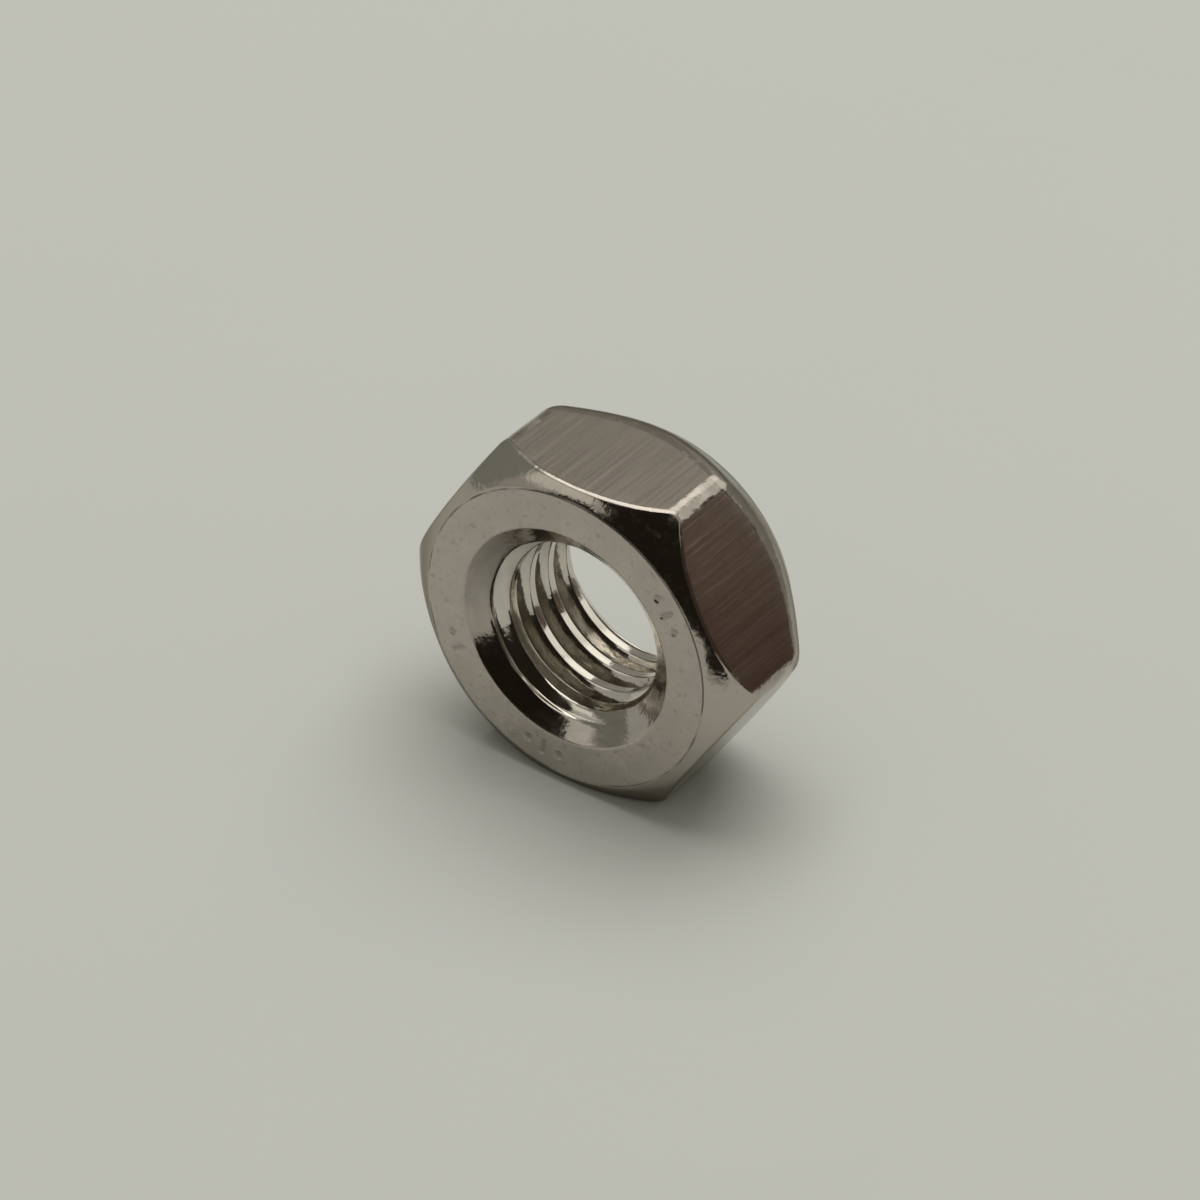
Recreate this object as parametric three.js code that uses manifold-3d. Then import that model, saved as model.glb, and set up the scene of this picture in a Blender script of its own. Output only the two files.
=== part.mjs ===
// A plain hex nut, size M10, standing on one of its six flats with its bore along Y.
//
// Millimetres, +Z up. The origin is the middle of the flat that it stands on. The front bearing
// face looks along -Y and the back one along +Y. The nut is one piece of steel: an extruded
// hexagon turned down to a chamfered body of revolution, then tapped and countersunk.

import * as THREE from 'three';
import { mergeVertices } from 'three/addons/utils/BufferGeometryUtils.js';
import Module from 'manifold-3d';

// Driving dimensions of the hexagon
const acrossFlats = 17;
const thickness = 8;
const cornerFillet = 0.89;

// Bearing faces: the radius of each flat ring, and the bevel that falls away outside it, as a
// depth of slope * u + curve * u * u at a distance u beyond the ring
const frontBevel = { ringRadius: 7.91, slope: 0.52, curve: 0.22 };
const backBevel = { ringRadius: 7.58, slope: 1.3, curve: -0.08 };

// Thread, M10 x 1.5, right-handed, tapped in an 8.5 mm hole. The land left between two grooves
// crosses the +X side of the bore at this depth below the front face, and again every pitch.
const majorRadius = 5;
const minorRadius = 4.25;
const pitch = 1.5;
const threadHalfAngle = Math.PI / 6;
const landDepth = 1.14;

// Cones that open the bore: the radius where each one would meet its bearing face, and the angle
// between the cone and the bore's axis. The steep lead-in lies inside the front countersink.
const frontSink = { radius: 5.88, halfAngle: THREE.MathUtils.degToRad(50) };
const frontLead = { radius: 4.92, halfAngle: THREE.MathUtils.degToRad(20) };
const backSink = { radius: 5.78, halfAngle: THREE.MathUtils.degToRad(45) };

// Fineness of the facets
const filletSegments = 4;
const bevelSteps = 4;
const turnedSegments = 72;
const segmentsPerTurn = 48;

// Turned bodies that meet start at different angles, as a fraction of a facet, so that no edge of
// one runs along an edge of another
const bodyShift = 1 / 2;
const holeShift = 1 / 2;
const sinkShift = 1 / 3;
const leadShift = 1 / 4;

// How far a cutting solid runs past the face that it cuts, and the tap's ridge into the drilled hole
const overrun = 1;
const tapOverlap = 0.1;

const frontY = -thickness / 2;
const backY = thickness / 2;
const bodyRadius = acrossFlats / Math.sqrt(3) + overrun;

const wasm = await Module();
wasm.setup();

// A closed geometry as a manifold solid. Triangles that a pole has squeezed to a line are dropped.
function toSolid(geometry) {
  const bare = geometry.clone();
  bare.deleteAttribute('normal');
  bare.deleteAttribute('uv');
  const merged = mergeVertices(bare);
  const index = merged.index.array;
  const triangles = [];
  for (let i = 0; i < index.length; i += 3) {
    const [a, b, c] = index.slice(i, i + 3);
    if (a !== b && b !== c && c !== a) triangles.push(a, b, c);
  }
  return new wasm.Manifold(new wasm.Mesh({
    numProp: 3,
    vertProperties: new Float32Array(merged.attributes.position.array),
    triVerts: new Uint32Array(triangles),
  }));
}

// A manifold solid as a flat-shaded three.js geometry
function toGeometry(solid) {
  const mesh = solid.getMesh();
  const geometry = new THREE.BufferGeometry();
  geometry.setAttribute('position', new THREE.BufferAttribute(mesh.vertProperties, 3));
  geometry.setIndex(new THREE.BufferAttribute(mesh.triVerts, 1));
  geometry.computeVertexNormals();
  return geometry;
}

// A profile turned about the bore's axis
function turned(profile, segments, shift) {
  return new THREE.LatheGeometry(profile, segments, shift * 2 * Math.PI / segments);
}

// The hexagonal bar with filleted corners, a flat below and a flat above
function hexBar() {
  const outline = new THREE.Shape();
  const filletCentreRadius = (acrossFlats / 2 - cornerFillet) / Math.cos(Math.PI / 6);
  for (let corner = 0; corner < 6; corner++) {
    const angle = corner * Math.PI / 3;
    outline.absarc(
      filletCentreRadius * Math.cos(angle),
      filletCentreRadius * Math.sin(angle),
      cornerFillet,
      angle - Math.PI / 6,
      angle + Math.PI / 6,
    );
  }
  outline.closePath();
  const bar = new THREE.ExtrudeGeometry(outline, {
    depth: thickness + 2 * overrun,
    bevelEnabled: false,
    curveSegments: filletSegments,
  });
  bar.translate(0, 0, frontY - overrun);
  bar.rotateX(-Math.PI / 2);
  return bar;
}

// Points down one bevel, from the bearing ring outward
function bevelPoints(bevel, faceY, inward) {
  const reach = bodyRadius - bevel.ringRadius;
  const points = [];
  for (let step = 0; step <= bevelSteps; step++) {
    const u = reach * step / bevelSteps;
    const depth = u * (bevel.slope + bevel.curve * u);
    points.push(new THREE.Vector2(bevel.ringRadius + u, faceY + inward * depth));
  }
  return points;
}

// The turned body that the bar is cut down to: both bearing faces and both bevels
function bevelledBody() {
  const profile = [
    new THREE.Vector2(0, frontY),
    ...bevelPoints(frontBevel, frontY, 1),
    ...bevelPoints(backBevel, backY, -1).reverse(),
    new THREE.Vector2(0, backY),
  ];
  return turned(profile, turnedSegments, bodyShift);
}

// The cone that opens one end of the bore, run on past the face
function sinkCone(sink, faceY, outward, shift) {
  const slope = Math.tan(sink.halfAngle);
  const tip = new THREE.Vector2(0, faceY - outward * sink.radius / slope);
  const mouth = new THREE.Vector2(sink.radius + overrun * slope, faceY + outward * overrun);
  const centre = new THREE.Vector2(0, mouth.y);
  const profile = outward > 0 ? [tip, mouth, centre] : [centre, mouth, tip];
  return turned(profile, turnedSegments, shift);
}

// The drilled hole, before tapping
function drilledHole() {
  const profile = [
    new THREE.Vector2(0, frontY - overrun),
    new THREE.Vector2(minorRadius, frontY - overrun),
    new THREE.Vector2(minorRadius, backY + overrun),
    new THREE.Vector2(0, backY + overrun),
  ];
  return turned(profile, segmentsPerTurn, holeShift);
}

// The tap's ridge: a 60 degree thread form carried along a right-handed helix, capped at its ends
function tapRidge() {
  const rootRadius = minorRadius - tapOverlap;
  const crestHalfWidth = pitch / 16;
  const rootHalfWidth = crestHalfWidth + (majorRadius - rootRadius) * Math.tan(threadHalfAngle);
  const section = [
    [rootRadius, -rootHalfWidth],
    [majorRadius, -crestHalfWidth],
    [majorRadius, crestHalfWidth],
    [rootRadius, rootHalfWidth],
  ];
  const sides = section.length;
  const turnsOutside = 2;
  const turns = Math.ceil(thickness / pitch) + turnsOutside;
  const grooveDepth = landDepth - pitch / 2;
  const startY = frontY + grooveDepth - turnsOutside * pitch;
  const positions = [];
  const triangles = [];
  for (let step = 0; step <= turns * segmentsPerTurn; step++) {
    const turn = step / segmentsPerTurn;
    const angle = Math.PI / 2 + turn * 2 * Math.PI;
    for (const [radius, along] of section) {
      positions.push(radius * Math.sin(angle), startY + pitch * turn + along, radius * Math.cos(angle));
    }
  }
  for (let step = 0; step < turns * segmentsPerTurn; step++) {
    for (let side = 0; side < sides; side++) {
      const here = step * sides + side;
      const beside = step * sides + (side + 1) % sides;
      triangles.push(here, beside + sides, beside);
      triangles.push(here, here + sides, beside + sides);
    }
  }
  const last = turns * segmentsPerTurn * sides;
  triangles.push(0, 1, 2, 0, 2, 3);
  triangles.push(last, last + 2, last + 1, last, last + 3, last + 2);
  const ridge = new THREE.BufferGeometry();
  ridge.setAttribute('position', new THREE.Float32BufferAttribute(positions, 3));
  ridge.setIndex(triangles);
  return ridge;
}

function hexNut() {
  const blank = toSolid(hexBar()).intersect(toSolid(bevelledBody()));
  const tap = toSolid(drilledHole()).add(toSolid(tapRidge()));
  const sinks = toSolid(sinkCone(frontSink, frontY, -1, sinkShift))
    .add(toSolid(sinkCone(frontLead, frontY, -1, leadShift)))
    .add(toSolid(sinkCone(backSink, backY, 1, sinkShift)));
  const steel = new THREE.MeshStandardMaterial({ color: 0xc8c4bc, roughness: 0.35, metalness: 1 });
  const nut = new THREE.Mesh(toGeometry(blank.subtract(tap).subtract(sinks)), steel);
  nut.name = 'hex_nut';
  nut.position.z = acrossFlats / 2;
  return nut;
}

const group = new THREE.Group();
group.add(hexNut());

export default group;
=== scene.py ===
"""A plain steel hex nut standing on one flat, on a pale floor in soft studio light.

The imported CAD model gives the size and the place. The CAD solid is faceted, so this script builds
the same nut again as one fine, closed mesh: rounded edges, a true helical thread and a few shallow
marks pressed in the front face. Lengths inside the mesh code are in millimetres, measured from the
middle of the bore, and become metres when the mesh is made.
"""
import math

import bpy
import numpy as np
from mathutils import Matrix, Vector


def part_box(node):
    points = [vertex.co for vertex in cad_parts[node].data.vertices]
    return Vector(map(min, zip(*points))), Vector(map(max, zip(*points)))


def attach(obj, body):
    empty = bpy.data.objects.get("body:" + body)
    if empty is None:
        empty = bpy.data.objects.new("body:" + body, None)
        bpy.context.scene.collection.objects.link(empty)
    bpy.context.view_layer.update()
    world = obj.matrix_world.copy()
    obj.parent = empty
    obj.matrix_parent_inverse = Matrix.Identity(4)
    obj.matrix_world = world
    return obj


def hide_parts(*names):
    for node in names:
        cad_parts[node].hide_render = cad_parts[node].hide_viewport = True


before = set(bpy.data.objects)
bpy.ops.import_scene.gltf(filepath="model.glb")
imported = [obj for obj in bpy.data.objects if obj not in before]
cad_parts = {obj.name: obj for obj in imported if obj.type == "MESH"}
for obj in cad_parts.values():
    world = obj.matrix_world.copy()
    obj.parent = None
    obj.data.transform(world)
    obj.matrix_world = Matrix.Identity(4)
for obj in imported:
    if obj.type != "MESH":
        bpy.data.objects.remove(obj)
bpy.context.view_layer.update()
NODE_LOW, NODE_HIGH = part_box("hex_nut")

MM = 0.001

# Sizes that come from the frame, in millimetres
ACROSS_FLATS = (NODE_HIGH.z - NODE_LOW.z) / MM
THICKNESS = (NODE_HIGH.y - NODE_LOW.y) / MM
BORE_CENTRE = (NODE_LOW + NODE_HIGH) / 2
FRONT = -THICKNESS / 2
BACK = THICKNESS / 2

# The nut's own shape, in millimetres
CORNER_FILLET = 0.89
FRONT_BEVEL = {"ring": 7.91, "slope": 0.52, "curve": 0.22}
BACK_BEVEL = {"ring": 7.58, "slope": 1.3, "curve": -0.08}
FRONT_SINK = {"radius": 5.88, "half_angle": math.radians(50)}
FRONT_LEAD = {"radius": 4.92, "half_angle": math.radians(20)}
BACK_SINK = {"radius": 5.78, "half_angle": math.radians(45)}
MAJOR_RADIUS = 5.0
MINOR_RADIUS = 4.25
PITCH = 1.5
THREAD_HALF_ANGLE = math.radians(30)
ROOT_HALF_WIDTH = PITCH / 16
GROOVE_HALF_WIDTH = ROOT_HALF_WIDTH + (MAJOR_RADIUS - MINOR_RADIUS) * math.tan(THREAD_HALF_ANGLE)

# Depth below the front face at which the land between two grooves crosses the +X side of the bore
LAND_DEPTH = 1.14

# How far each rounded edge reaches back from its corner, in millimetres
FRONT_EDGE_REACH = 0.17
BACK_EDGE_REACH = 0.75
SINK_EDGE_REACH = 0.08
THREAD_BLEND = 0.045

# The fine groove that a tool left where each bearing ring ends, in millimetres
RING_GROOVE_REACH = 0.045
RING_GROOVE_DEPTH = 0.025

# Marks pressed in the front face: plain dots and bars, in millimetres. Each group has the angle of
# its middle round the ring and a count of marks, by turns dot and bar.
MARK_DEPTH = 0.06
MARK_EDGE = 0.1
DOT_RADIUS = 0.2
BAR_HALF_LENGTH = 0.31
BAR_HALF_WIDTH = 0.12
MARK_SPACING = math.radians(7.5)
MARK_GROUPS = [(math.radians(35), 3), (math.radians(205), 2), (math.radians(262), 3)]

# Fineness of the mesh
FILLET_STEPS = 10
FLAT_STEPS = 80
FLAT_ROWS = 8

# Parts of the surface that are finished differently
RING_ZONE, GROOVE_ZONE, BEVEL_ZONE, FLAT_ZONE, CORNER_ZONE, SINK_ZONE, THREAD_ZONE = range(7)


def hexagon_meridians():
    """Angle and radius of the points round the hexagon, closer together at its corners."""
    middle_radius = (ACROSS_FLATS / 2 - CORNER_FILLET) / math.cos(math.pi / 6)
    points = []
    for corner in range(6):
        middle = corner * math.pi / 3
        flat_normal = middle + math.pi / 6
        centre = middle_radius * np.array([math.cos(middle), math.sin(middle)])
        next_centre = middle_radius * np.array(
            [math.cos(middle + math.pi / 3), math.sin(middle + math.pi / 3)]
        )
        for step in range(FILLET_STEPS):
            turn = middle + (step / FILLET_STEPS - 0.5) * math.pi / 3
            points.append(centre + CORNER_FILLET * np.array([math.cos(turn), math.sin(turn)]))
        offset = CORNER_FILLET * np.array([math.cos(flat_normal), math.sin(flat_normal)])
        for step in range(FLAT_STEPS):
            share = step / FLAT_STEPS
            points.append(centre * (1 - share) + next_centre * share + offset)
    points = np.array(points)
    angles = np.unwrap(np.arctan2(points[:, 1], points[:, 0]))
    return angles, np.hypot(points[:, 0], points[:, 1])


def rounded_corner(before, corner, after, steps):
    """Points of a soft corner that leaves at `before` and lands at `after`; each is (radius, y)."""
    rows = []
    for share in np.linspace(0, 1, steps):
        weights = ((1 - share) ** 2, 2 * share * (1 - share), share**2)
        rows.append(
            tuple(sum(w * p[axis] for w, p in zip(weights, (before, corner, after))) for axis in (0, 1))
        )
    return rows


def bevel_depth(bevel, radius):
    """How far the bevel lies below its bearing face at a radius."""
    beyond = np.maximum(radius - bevel["ring"], 0)
    return beyond * (bevel["slope"] + bevel["curve"] * beyond)


def side_rows(bevel, sink, face, inward, hex_radius, reach, steps):
    """Rows from the countersink's cone out over the ring and the bevel to the hexagon's flats.

    Also returns the zone of the band between each row and the next one outward.
    """
    one = np.ones_like(hex_radius)
    angle = sink["half_angle"]
    on_cone = (
        (sink["radius"] - SINK_EDGE_REACH * math.sin(angle)) * one,
        (face + inward * SINK_EDGE_REACH * math.cos(angle)) * one,
    )
    on_ring = ((sink["radius"] + SINK_EDGE_REACH) * one, face * one)
    rows = rounded_corner(on_cone, (sink["radius"] * one, face * one), on_ring, steps["sink_edge"])
    ring_end = bevel["ring"] - RING_GROOVE_REACH
    for share in np.linspace(0, 1, steps["ring"])[1:-1]:
        rows.append((on_ring[0] * (1 - share) + ring_end * share, face * one))
    bevel_start = (bevel["ring"] + RING_GROOVE_REACH) * one
    rows.append((ring_end * one, face * one))
    bands = [RING_ZONE] * (len(rows) - 1) + [GROOVE_ZONE] * 2
    rows.append((bevel["ring"] * one, (face + inward * RING_GROOVE_DEPTH) * one))
    rows.append((bevel_start, face + inward * bevel_depth(bevel, bevel_start)))
    slope = bevel["slope"] + 2 * bevel["curve"] * (hex_radius - bevel["ring"])
    bevel_end = hex_radius - reach / np.sqrt(1 + slope**2)
    for share in np.linspace(0, 1, steps["bevel"])[1:-1]:
        radius = bevel_start * (1 - share) + bevel_end * share
        rows.append((radius, face + inward * bevel_depth(bevel, radius)))
    corner_y = face + inward * bevel_depth(bevel, hex_radius)
    rows += rounded_corner(
        (bevel_end, face + inward * bevel_depth(bevel, bevel_end)),
        (hex_radius, corner_y),
        (hex_radius, corner_y + inward * reach),
        steps["edge"],
    )
    bands += [BEVEL_ZONE] * (len(rows) - 1 - len(bands))
    return rows, bands


def outside_rows(hex_radius):
    """Every row outside the bore, from the front cone's mouth round to the back cone's mouth."""
    front_steps = {"sink_edge": 4, "ring": 30, "bevel": 12, "edge": 7}
    back_steps = {"sink_edge": 4, "ring": 8, "bevel": 9, "edge": 9}
    front, front_bands = side_rows(
        FRONT_BEVEL, FRONT_SINK, FRONT, 1, hex_radius, FRONT_EDGE_REACH, front_steps
    )
    back, back_bands = side_rows(
        BACK_BEVEL, BACK_SINK, BACK, -1, hex_radius, BACK_EDGE_REACH, back_steps
    )
    back.reverse()
    back_bands.reverse()
    flat = []
    for share in np.linspace(0, 1, FLAT_ROWS)[1:-1]:
        flat.append((hex_radius, front[-1][1] * (1 - share) + back[0][1] * share))
    bands = front_bands + [FLAT_ZONE] * (FLAT_ROWS - 1) + back_bands
    return front + flat + back, bands


def smooth_max(a, b, width):
    """The larger of a and b, with the crease between them rounded over about the given width."""
    overlap = np.maximum(width - np.abs(a - b), 0) / width
    return np.maximum(a, b) + overlap**2 * width / 4


def thread_radius(angle, y):
    """Radius of the tapped bore: a right-handed 60 degree thread with narrow lands and roots."""
    land = FRONT + LAND_DEPTH - PITCH * angle / (2 * math.pi)
    from_groove = np.abs(np.mod(y - land, PITCH) - PITCH / 2)
    flank = MAJOR_RADIUS - (from_groove - ROOT_HALF_WIDTH) / math.tan(THREAD_HALF_ANGLE)
    floor = -smooth_max(-flank, np.full_like(flank, -MAJOR_RADIUS), THREAD_BLEND * 2)
    return smooth_max(floor, np.full_like(flank, MINOR_RADIUS), THREAD_BLEND)


def cone_radius(cone, depth):
    """Radius of a cone that opens the bore, at a depth below its face."""
    return cone["radius"] - depth * math.tan(cone["half_angle"])


def bore_radius(angle, y):
    """Radius of the whole bore, and whether a countersink makes it rather than the thread."""
    thread = np.maximum(thread_radius(angle, y), cone_radius(FRONT_LEAD, y - FRONT))
    sinks = np.maximum(cone_radius(FRONT_SINK, y - FRONT), cone_radius(BACK_SINK, BACK - y))
    return smooth_max(thread, sinks, THREAD_BLEND), sinks > thread


def thread_offsets():
    """Where the rows lie across one pitch, from the middle of a land to the next.

    Rows lie close together at the groove's rounded edge and at its root, and wide on the flank.
    """
    half = [
        PITCH / 2,
        GROOVE_HALF_WIDTH + 0.05,
        GROOVE_HALF_WIDTH + 0.02,
        GROOVE_HALF_WIDTH - 0.01,
        GROOVE_HALF_WIDTH - 0.05,
        GROOVE_HALF_WIDTH - 0.17,
        GROOVE_HALF_WIDTH - 0.29,
        ROOT_HALF_WIDTH + 0.07,
        ROOT_HALF_WIDTH,
    ]
    below = [PITCH / 2 - distance for distance in half]
    above = [PITCH / 2 + distance for distance in reversed(half[1:])]
    return np.array(below + [PITCH / 2] + above)


def mark_depth(x, z):
    """Depth of the pressed marks at a place on the front face."""
    ring_middle = (FRONT_SINK["radius"] + FRONT_BEVEL["ring"]) / 2
    distance = np.full_like(x, math.inf)
    for middle, count in MARK_GROUPS:
        for number in range(count):
            angle = middle + (number - (count - 1) / 2) * MARK_SPACING
            outward = np.array([math.cos(angle), math.sin(angle)])
            half_length = BAR_HALF_LENGTH if number % 2 else 0.0
            half_width = BAR_HALF_WIDTH if number % 2 else DOT_RADIUS
            along = x * outward[0] + z * outward[1] - ring_middle
            across = z * outward[0] - x * outward[1]
            past_end = np.maximum(np.abs(along) - half_length, 0)
            distance = np.minimum(distance, np.hypot(past_end, across) - half_width)
    share = np.clip(0.5 - distance / MARK_EDGE, 0, 1)
    return MARK_DEPTH * share * share * (3 - 2 * share)


def outside_vertices(angles, rows):
    """Vertex places of the outside rows, with the front face's marks pressed in, and those marks."""
    vertices, marks = [], []
    for radius, y in rows:
        x = radius * np.cos(angles)
        z = radius * np.sin(angles)
        on_front_ring = np.isclose(y, FRONT)
        depth = np.where(on_front_ring, mark_depth(x, z), 0)
        vertices.append(np.stack([x, y + depth, z], axis=1))
        marks.append(depth / MARK_DEPTH)
    return np.concatenate(vertices), np.concatenate(marks)


def bore_rows(angles, front_mouth, back_mouth):
    """The y of each bore row at each meridian, and the rows in a pitch. Rows follow the thread's lead.

    The rows start before the front mouth and end past the back one on every meridian.
    """
    offsets = thread_offsets()
    per_pitch = len(offsets)
    lead = PITCH * angles / (2 * math.pi)
    lowest = FRONT + LAND_DEPTH
    lowest -= PITCH * math.ceil((lowest - lead.min() - front_mouth) / PITCH + 0.05)
    pitches = math.ceil((back_mouth - lowest + lead.min()) / PITCH + 1.1)
    base = np.concatenate([lowest + number * PITCH + offsets for number in range(pitches)])
    return base[:, None] - lead[None, :], per_pitch


def nut_mesh():
    """The fine nut: vertices in millimetres, faces, a zone for each face and marks by vertex."""
    angles, hex_radius = hexagon_meridians()
    columns = len(angles)
    rows, bands = outside_rows(hex_radius)
    vertices, marks = outside_vertices(angles, rows)
    front_mouth = rows[0][1][0]
    back_mouth = rows[-1][1][0]
    faces, zones = [], []
    for row in range(len(rows) - 1):
        for column in range(columns):
            beside = (column + 1) % columns
            here = row * columns
            faces.append((here + column, here + columns + column, here + columns + beside, here + beside))
            on_fillet = column % (FILLET_STEPS + FLAT_STEPS) < FILLET_STEPS
            zones.append(CORNER_ZONE if bands[row] == FLAT_ZONE and on_fillet else bands[row])

    y, per_pitch = bore_rows(angles, front_mouth, back_mouth)
    inside = (y > front_mouth) & (y < back_mouth)
    radius, in_sink = bore_radius(angles[None, :], y)
    bore = np.stack([radius * np.cos(angles), y, radius * np.sin(angles)], axis=2)[inside]
    number = np.zeros(y.shape, int)
    number[inside] = len(vertices) + np.arange(inside.sum())
    mouth = np.arange(columns)
    number = np.where(y <= front_mouth, mouth[None, :], number)
    number = np.where(y >= back_mouth, (len(rows) - 1) * columns + mouth[None, :], number)
    # Past the last meridian the thread has climbed one pitch, so the first column comes back lower
    again = np.concatenate([np.full(per_pitch, 0), number[:-per_pitch, 0]])
    number = np.concatenate([number, again[:, None]], axis=1)
    for row in range(len(number) - 1):
        for column in range(columns):
            ring = (
                number[row, column],
                number[row, column + 1],
                number[row + 1, column + 1],
                number[row + 1, column],
            )
            face = tuple(int(v) for k, v in enumerate(ring) if v != ring[k - 1])
            if len(set(face)) >= 3:
                faces.append(face)
                zones.append(SINK_ZONE if in_sink[row, column] else THREAD_ZONE)
    marks = np.concatenate([marks, np.zeros(len(bore))])
    return np.concatenate([vertices, bore]), faces, zones, marks


# ---------------------------------------------------------------- materials

# Colours of the bare metal. Fresh cut thread is brighter and less warm than the rest.
STEEL = (0.505, 0.46, 0.41)
THREAD_STEEL = (0.66, 0.63, 0.57)


def new_material(name):
    """An empty node material with its output and one metal shader."""
    material = bpy.data.materials.new(name)
    material.use_nodes = True
    nodes = material.node_tree.nodes
    nodes.clear()
    output = nodes.new("ShaderNodeOutputMaterial")
    shader = nodes.new("ShaderNodeBsdfPrincipled")
    shader.inputs["Metallic"].default_value = 1.0
    material.node_tree.links.new(shader.outputs["BSDF"], output.inputs["Surface"])
    return material, shader


def place_in_mm(tree):
    """The object's own coordinates in millimetres."""
    nodes, links = tree.nodes, tree.links
    coordinates = nodes.new("ShaderNodeTexCoord")
    scale = nodes.new("ShaderNodeVectorMath")
    scale.operation = "SCALE"
    scale.inputs["Scale"].default_value = 1 / MM
    links.new(coordinates.outputs["Object"], scale.inputs[0])
    return scale.outputs["Vector"]


def stretched_noise(tree, place, scale, detail, roughness=0.5):
    """Noise with its own number of features per millimetre along each axis."""
    nodes, links = tree.nodes, tree.links
    stretch = nodes.new("ShaderNodeVectorMath")
    stretch.operation = "MULTIPLY"
    stretch.inputs[1].default_value = scale
    links.new(place, stretch.inputs[0])
    noise = nodes.new("ShaderNodeTexNoise")
    noise.inputs["Scale"].default_value = 1.0
    noise.inputs["Detail"].default_value = detail
    noise.inputs["Roughness"].default_value = roughness
    links.new(stretch.outputs["Vector"], noise.inputs["Vector"])
    return noise.outputs["Fac"]


def remap(tree, value, low, high, to_low, to_high):
    """A value's range low..high carried to to_low..to_high, and held there beyond it."""
    node = tree.nodes.new("ShaderNodeMapRange")
    node.inputs["From Min"].default_value = low
    node.inputs["From Max"].default_value = high
    node.inputs["To Min"].default_value = to_low
    node.inputs["To Max"].default_value = to_high
    tree.links.new(value, node.inputs["Value"])
    return node.outputs["Result"]


def combine(tree, operation, a, b):
    """Two values joined by a math operation; b may be a plain number."""
    node = tree.nodes.new("ShaderNodeMath")
    node.operation = operation
    tree.links.new(a, node.inputs[0])
    if isinstance(b, (int, float)):
        node.inputs[1].default_value = b
    else:
        tree.links.new(b, node.inputs[1])
    return node.outputs["Value"]


def bump(tree, height, strength, distance_mm, below=None):
    """A bump of the given height in millimetres, on top of another bump if there is one."""
    node = tree.nodes.new("ShaderNodeBump")
    node.inputs["Strength"].default_value = strength
    node.inputs["Distance"].default_value = distance_mm * MM
    tree.links.new(height, node.inputs["Height"])
    if below is not None:
        tree.links.new(below, node.inputs["Normal"])
    return node.outputs["Normal"]


def tinted(tree, share, dark, light):
    """A colour between dark and light."""
    node = tree.nodes.new("ShaderNodeMix")
    node.data_type = "RGBA"
    node.inputs[6].default_value = (*dark, 1)
    node.inputs[7].default_value = (*light, 1)
    tree.links.new(share, node.inputs[0])
    return node.outputs[2]


def overlaid(tree, share, below, colour):
    """A plain colour laid over a varying one, by a share from 0 to 1."""
    node = tree.nodes.new("ShaderNodeMix")
    node.data_type = "RGBA"
    node.inputs[7].default_value = (*colour, 1)
    tree.links.new(share, node.inputs[0])
    tree.links.new(below, node.inputs[6])
    return node.outputs[2]


def scaled(colour, factor):
    """A colour made lighter or darker."""
    return tuple(channel * factor for channel in colour)


def flat_steel():
    """The six spanner flats: drawn lines along the bore, and painted shade that makes them darker and
    warmer near the side corners and lighter towards the top and bottom flats.
    """
    material, shader = new_material("drawn_flat_steel")
    tree = material.node_tree
    place = place_in_mm(tree)
    axes = tree.nodes.new("ShaderNodeSeparateXYZ")
    tree.links.new(place, axes.inputs[0])
    lines = stretched_noise(tree, place, (5, 0.12, 5), 4)
    patches = stretched_noise(tree, place, (0.16, 0.16, 0.16), 2)
    grain = stretched_noise(tree, place, (10, 7, 10), 3)
    waves = stretched_noise(tree, place, (0.35, 0.25, 0.35), 2)
    tree.links.new(remap(tree, lines, 0.3, 0.7, 0.17, 0.23), shader.inputs["Roughness"])
    # Painted shade: the colour runs from a darker, warmer tone at the bore's height, by the side corners,
    # to a lighter steel on the top and bottom flats, for how light falls on them. The drawn lines vary it
    # a little.
    from_middle = combine(tree, "SUBTRACT", axes.outputs["Z"], ACROSS_FLATS / 2)
    from_middle = combine(tree, "ABSOLUTE", from_middle, 0)
    painted_height_shade_and_lines = remap(tree, from_middle, 0.5, 6.5, 0, 0.85)
    painted_height_shade_and_lines = combine(tree, "ADD", painted_height_shade_and_lines, remap(tree, lines, 0.3, 0.7, -0.1, 0.1))
    painted_shade_tone = (STEEL[0] * 0.66, STEEL[1] * 0.6, STEEL[2] * 0.56)
    aside = combine(tree, "ABSOLUTE", axes.outputs["X"], 0)
    shown = remap(tree, aside, 3.5, 6, 0.12, 1)
    shown = combine(tree, "MULTIPLY", shown, remap(tree, patches, 0.42, 0.6, 0.15, 1))
    streaks = remap(tree, stretched_noise(tree, place, (9, 0.3, 9), 2), 0.56, 0.72, 0, 0.55)
    streaks = combine(tree, "MULTIPLY", streaks, shown)
    colour = tinted(tree, painted_height_shade_and_lines, painted_shade_tone, scaled(STEEL, 1.1))
    colour = overlaid(tree, streaks, colour, scaled(STEEL, 1.7))
    tree.links.new(colour, shader.inputs["Base Color"])
    drawn = combine(tree, "MULTIPLY", lines, shown)
    normal = bump(tree, waves, 0.3, 0.05)
    normal = bump(tree, drawn, 0.2, 0.01, normal)
    normal = bump(tree, grain, 0.3, 0.006, normal)
    tree.links.new(normal, shader.inputs["Normal"])
    return material


def corner_steel():
    """The filleted corners between the flats: rougher and blotchy, as the forging left them."""
    material, shader = new_material("corner_steel")
    tree = material.node_tree
    place = place_in_mm(tree)
    blotches = stretched_noise(tree, place, (1.3, 0.9, 1.3), 3)
    tree.links.new(remap(tree, blotches, 0.35, 0.65, 0.16, 0.34), shader.inputs["Roughness"])
    tree.links.new(
        tinted(tree, remap(tree, blotches, 0.35, 0.6, 0, 1), scaled(STEEL, 0.72), scaled(STEEL, 1.15)),
        shader.inputs["Base Color"],
    )
    tree.links.new(bump(tree, blotches, 0.7, 0.12), shader.inputs["Normal"])
    return material


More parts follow.
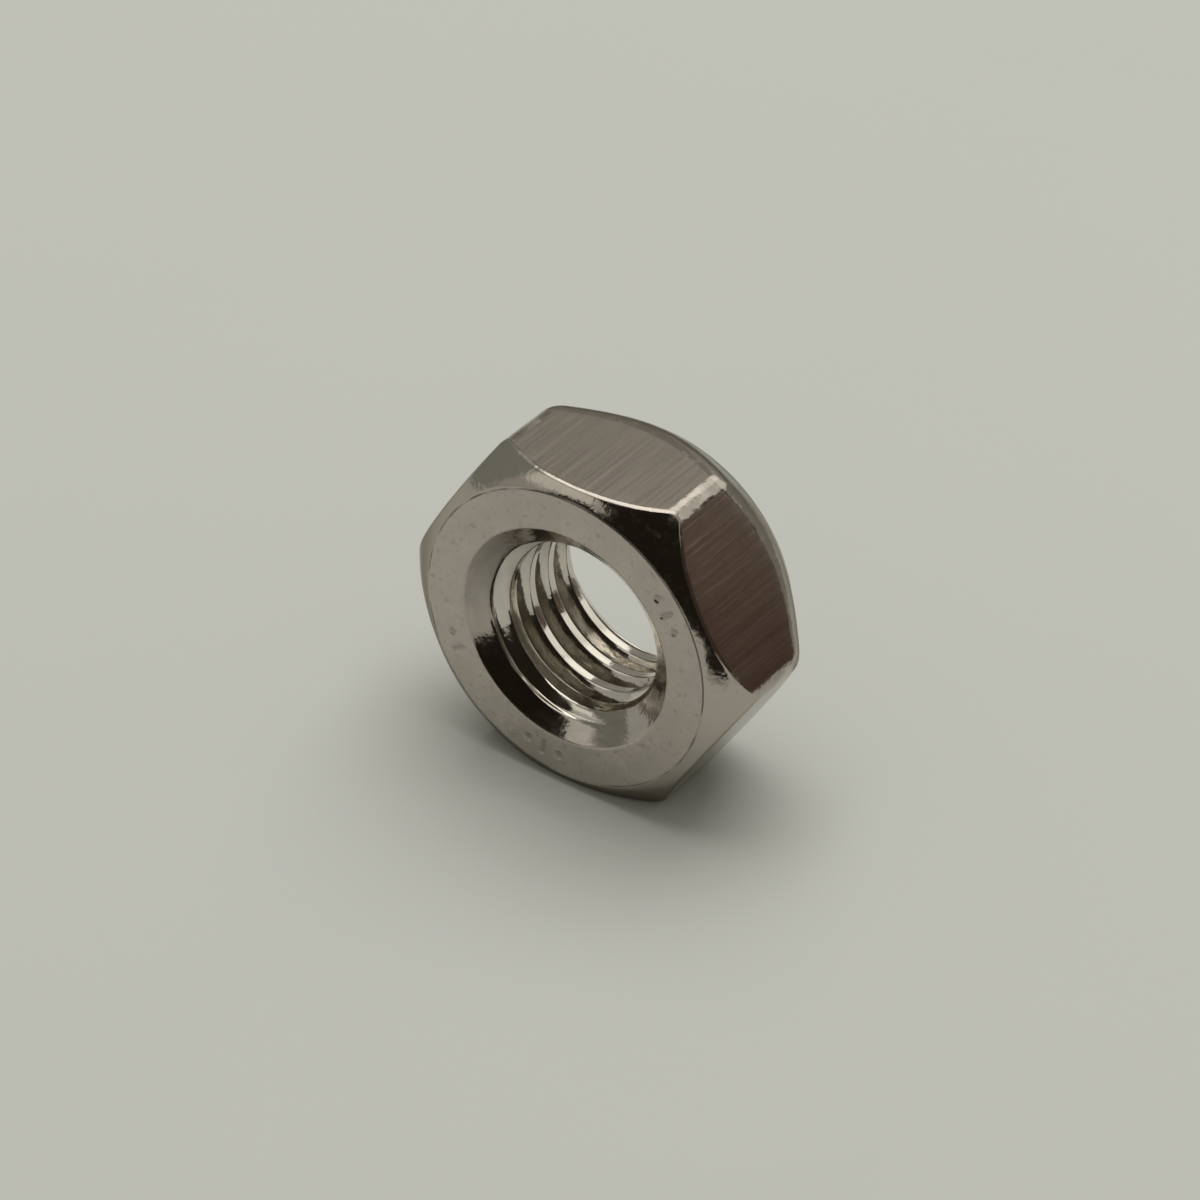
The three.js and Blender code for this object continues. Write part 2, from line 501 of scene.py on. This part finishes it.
def ring_steel():
    """The bearing rings: satin, with faint mottling, small dents, small dark stains, and painted shade in
    the pressed marks.
    """
    material, shader = new_material("turned_ring_steel")
    tree = material.node_tree
    place = place_in_mm(tree)
    mottle = stretched_noise(tree, place, (0.9, 0.9, 0.9), 3)
    grain = stretched_noise(tree, place, (7, 7, 7), 3)
    dents = remap(tree, stretched_noise(tree, place, (2, 2, 2), 2), 0.6, 0.8, 0, 1)
    tree.links.new(remap(tree, mottle, 0.3, 0.7, 0.2, 0.3), shader.inputs["Roughness"])
    specks = remap(tree, stretched_noise(tree, place, (2.8, 2.8, 2.8), 2), 0.58, 0.76, 0, 0.35)
    colour = tinted(tree, remap(tree, mottle, 0.3, 0.7, 0, 1), scaled(STEEL, 0.93), scaled(STEEL, 1.06))
    # Painted shade: the colour is darkened inside the pressed marks, as shade in those recesses. The
    # specks are small dark stains.
    mark = tree.nodes.new("ShaderNodeAttribute")
    mark.attribute_name = "pressed_mark"
    painted_mark_shade = remap(tree, mark.outputs["Fac"], 0, 1, 0, 0.35)
    specks_and_painted_mark_shade = combine(tree, "MAXIMUM", painted_mark_shade, specks)
    tree.links.new(overlaid(tree, specks_and_painted_mark_shade, colour, scaled(STEEL, 0.35)), shader.inputs["Base Color"])
    normal = bump(tree, mottle, 0.5, 0.03)
    normal = bump(tree, grain, 0.3, 0.006, normal)
    normal = bump(tree, dents, -0.5, 0.02, normal)
    tree.links.new(normal, shader.inputs["Normal"])
    return material


def groove_painted_shade_steel():
    """The fine groove at the edge of each ring, with painted shade: its colour is darkened in patches for
    the shadow line along the groove.
    """
    material, shader = new_material("groove_painted_shade_steel")
    tree = material.node_tree
    patches = stretched_noise(tree, place_in_mm(tree), (0.6, 0.6, 0.6), 3)
    # Painted shade: the colour drops to 0.4 of the steel in patches, for the dark line along the groove's
    # step.
    tree.links.new(
        tinted(tree, remap(tree, patches, 0.4, 0.6, 0, 1), scaled(STEEL, 0.4), scaled(STEEL, 1.0)),
        shader.inputs["Base Color"],
    )
    shader.inputs["Roughness"].default_value = 0.4
    return material


def bevel_steel():
    """The bevels and the edges: smoother than the rings, gently uneven, with rougher scuffs."""
    material, shader = new_material("bevel_steel")
    tree = material.node_tree
    place = place_in_mm(tree)
    uneven = stretched_noise(tree, place, (0.8, 0.8, 0.8), 4)
    grain = stretched_noise(tree, place, (5, 5, 5), 3)
    scuffs = remap(tree, stretched_noise(tree, place, (2.2, 2.2, 2.2), 4), 0.5, 0.74, 0, 0.18)
    rough = combine(tree, "ADD", scuffs, remap(tree, uneven, 0.3, 0.7, 0.08, 0.13))
    tree.links.new(rough, shader.inputs["Roughness"])
    shader.inputs["Base Color"].default_value = (*scaled(STEEL, 0.97), 1)
    shader.inputs["Specular Tint"].default_value = (0.5, 0.49, 0.46, 1)
    normal = bump(tree, uneven, 0.6, 0.06)
    normal = bump(tree, grain, 0.3, 0.012, normal)
    tree.links.new(normal, shader.inputs["Normal"])
    return material


def bore_steel(name, steel):
    """The countersinks or the cut thread: smooth, with chatter that follows the tool round and tears."""
    material, shader = new_material(name)
    tree = material.node_tree
    place = place_in_mm(tree)
    chatter = stretched_noise(tree, place, (1, 4, 1), 3)
    grain = stretched_noise(tree, place, (6, 9, 6), 2)
    torn = stretched_noise(tree, place, (1.6, 1.6, 1.6), 3)
    tree.links.new(remap(tree, chatter, 0.3, 0.7, 0.07, 0.14), shader.inputs["Roughness"])
    tree.links.new(
        tinted(tree, remap(tree, chatter, 0.35, 0.65, 0, 1), scaled(steel, 0.94), scaled(steel, 1.06)),
        shader.inputs["Base Color"],
    )
    normal = bump(tree, chatter, 0.3, 0.03)
    normal = bump(tree, torn, 0.45, 0.04, normal)
    normal = bump(tree, grain, 0.25, 0.005, normal)
    tree.links.new(normal, shader.inputs["Normal"])
    return material


def floor_material():
    """Matt pale card with a faint cloudiness."""
    material, shader = new_material("pale_card")
    tree = material.node_tree
    shader.inputs["Metallic"].default_value = 0.0
    shader.inputs["Roughness"].default_value = 0.85
    shader.inputs["Specular IOR Level"].default_value = 0.2
    place = place_in_mm(tree)
    cloud = stretched_noise(tree, place, (0.03, 0.03, 0.03), 3)
    tree.links.new(
        tinted(tree, cloud, (0.470, 0.480, 0.444), (0.486, 0.494, 0.460)), shader.inputs["Base Color"]
    )
    return material


# ---------------------------------------------------------------- the nut


def add_nut():
    """The nut as one closed mesh, with a material for each zone."""
    vertices, faces, zones, marks = nut_mesh()
    mesh = bpy.data.meshes.new("hex_nut_body")
    places = vertices * MM + np.array(BORE_CENTRE)
    mesh.from_pydata([tuple(place) for place in places], [], faces)
    # In the order of the zones
    finishes = [
        ring_steel(),
        groove_painted_shade_steel(),
        bevel_steel(),
        flat_steel(),
        corner_steel(),
        bore_steel("countersink_steel", scaled(STEEL, 0.85)),
        bore_steel("cut_thread_steel", THREAD_STEEL),
    ]
    for finish in finishes:
        mesh.materials.append(finish)
    mesh.polygons.foreach_set("material_index", zones)
    mesh.polygons.foreach_set("use_smooth", [True] * len(faces))
    # The share of each pressed mark's depth, which the ring material uses to paint shade in the marks.
    mesh.attributes.new("pressed_mark", "FLOAT", "POINT").data.foreach_set("value", marks)
    mesh.update()
    nut = bpy.data.objects.new("hex_nut_body", mesh)
    bpy.context.scene.collection.objects.link(nut)
    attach(nut, "root")
    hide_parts("hex_nut")
    return nut


# ---------------------------------------------------------------- camera, floor and light


def add_camera():
    """The camera of the main view: a long lens, above the front face and to its right."""
    azimuth, elevation, roll = (math.radians(angle) for angle in (33.81, 36.22, 2.65))
    distance = 0.23443
    level_forward = Vector((-math.sin(azimuth), math.cos(azimuth), 0))
    forward = level_forward * math.cos(elevation) - Vector((0, 0, math.sin(elevation)))
    level_right = Vector((math.cos(azimuth), math.sin(azimuth), 0))
    level_up = level_right.cross(forward)
    right = level_right * math.cos(roll) + level_up * math.sin(roll)
    up = level_up * math.cos(roll) - level_right * math.sin(roll)
    front_centre = Vector((BORE_CENTRE.x, NODE_LOW.y, BORE_CENTRE.z))
    right_of_centre = 1.706 * MM
    above_centre = 1.851 * MM
    aim = front_centre + right * right_of_centre + up * above_centre
    data = bpy.data.cameras.new("camera")
    data.sensor_width = 36
    data.lens = 150
    data.clip_start = 0.01
    data.clip_end = 20
    camera = bpy.data.objects.new("camera", data)
    camera.matrix_world = Matrix.Translation(aim - forward * distance) @ Matrix(
        (right, up, -forward)
    ).transposed().to_4x4()
    bpy.context.scene.collection.objects.link(camera)
    bpy.context.scene.camera = camera


def add_floor():
    """A wide level floor."""
    half = 3.0
    mesh = bpy.data.meshes.new("floor")
    corners = [(-half, -half, 0), (half, -half, 0), (half, half, 0), (-half, half, 0)]
    mesh.from_pydata(corners, [], [(0, 1, 2, 3)])
    mesh.materials.append(floor_material())
    floor = bpy.data.objects.new("floor", mesh)
    bpy.context.scene.collection.objects.link(floor)


def facing_nut(direction, distance):
    """A place at a distance from the nut, turned to face it."""
    outward = Vector(direction).normalized()
    turn = outward.to_track_quat("Z", "Y").to_matrix().to_4x4()
    return Matrix.Translation(BORE_CENTRE + outward * distance) @ turn


def add_reflector(name, direction, width, height, colour, distance=0.4):
    """A card that only shows in the metal: it lights nothing, casts no shadow and isn't seen."""
    mesh = bpy.data.meshes.new(name)
    half = (width / 2, height / 2)
    mesh.from_pydata(
        [(-half[0], -half[1], 0), (half[0], -half[1], 0), (half[0], half[1], 0), (-half[0], half[1], 0)],
        [],
        [(0, 1, 2, 3)],
    )
    material = bpy.data.materials.new(name)
    material.use_nodes = True
    nodes = material.node_tree.nodes
    nodes.clear()
    output = nodes.new("ShaderNodeOutputMaterial")
    glow = nodes.new("ShaderNodeEmission")
    glow.inputs["Color"].default_value = (*colour, 1)
    material.node_tree.links.new(glow.outputs["Emission"], output.inputs["Surface"])
    mesh.materials.append(material)
    card = bpy.data.objects.new(name, mesh)
    card.matrix_world = facing_nut(direction, distance)
    card.visible_camera = False
    card.visible_diffuse = False
    card.visible_shadow = False
    card.visible_transmission = False
    card.visible_volume_scatter = False
    bpy.context.scene.collection.objects.link(card)
    return card


def add_reflectors():
    """Light and dark cards round the nut, which give the bare metal something to mirror.

    A card close to the nut shows with a sharper edge, so the small dark ones stand nearest.
    """
    dark = (0.016, 0.013, 0.009)
    add_reflector("overhead_card", (-0.15, 0.05, 1.0), 0.4, 0.4, (1.7, 1.64, 1.55))
    add_reflector("back_card", (-0.07, 0.67, 0.7), 0.24, 0.26, (1.3, 1.27, 1.18))
    add_reflector("back_right_card", (0.42, 0.7, 0.44), 0.07, 0.08, (0.95, 0.93, 0.86), 0.12)
    add_reflector("back_left_card", (-0.55, 0.62, 0.4), 0.24, 0.34, (0.275, 0.265, 0.235))
    add_reflector("behind_card", (0.0, 1.0, 0.0), 0.15, 0.03, (0.25, 0.25, 0.22), 0.075)
    add_reflector("low_dark_card", (0.22, -0.97, 0.1), 0.14, 0.06, dark, 0.07)
    add_reflector("side_dark_card", (23.5, -20.5, -2.5), 0.01, 0.012, dark, 0.0313)
    add_reflector("high_dark_card", (0.36, -0.7, 0.62), 0.135, 0.09, dark, 0.1)
    add_reflector("near_dark_card", (-1.5, -18, 5.5), 0.015, 0.011, dark, 0.019)
    add_reflector("right_card", (0.88, 0.47, 0.06), 0.07, 0.06, (0.1, 0.066, 0.05), 0.1)
    add_reflector("far_right_card", (1.0, -0.1, 0.2), 0.11, 0.08, (0.05, 0.038, 0.03), 0.09)
    add_reflector("front_left_card", (-0.5, -0.68, 0.54), 0.22, 0.22, (0.75, 0.73, 0.66))
    add_reflector("left_card", (-0.95, -0.09, 0.28), 0.42, 0.4, (0.26, 0.27, 0.235))


def add_light(name, direction, distance, size, power):
    """A square soft light that faces the nut. The metal mirrors the cards instead of it."""
    data = bpy.data.lights.new(name, "AREA")
    data.shape = "SQUARE"
    data.size = size
    data.energy = power
    light = bpy.data.objects.new(name, data)
    light.matrix_world = facing_nut(direction, distance)
    light.visible_glossy = False
    bpy.context.scene.collection.objects.link(light)


def add_world():
    """A dim, warm grey room."""
    world = bpy.data.worlds.new("studio")
    world.use_nodes = True
    background = world.node_tree.nodes["Background"]
    background.inputs["Color"].default_value = (0.40, 0.385, 0.35, 1)
    background.inputs["Strength"].default_value = 1.0
    bpy.context.scene.world = world


add_camera()
add_floor()
add_nut()
add_reflectors()
add_light("key", (-0.1, 0.25, 1.0), 0.6, 0.6, 3.3)
add_world()
bpy.context.scene.view_settings.view_transform = "Standard"
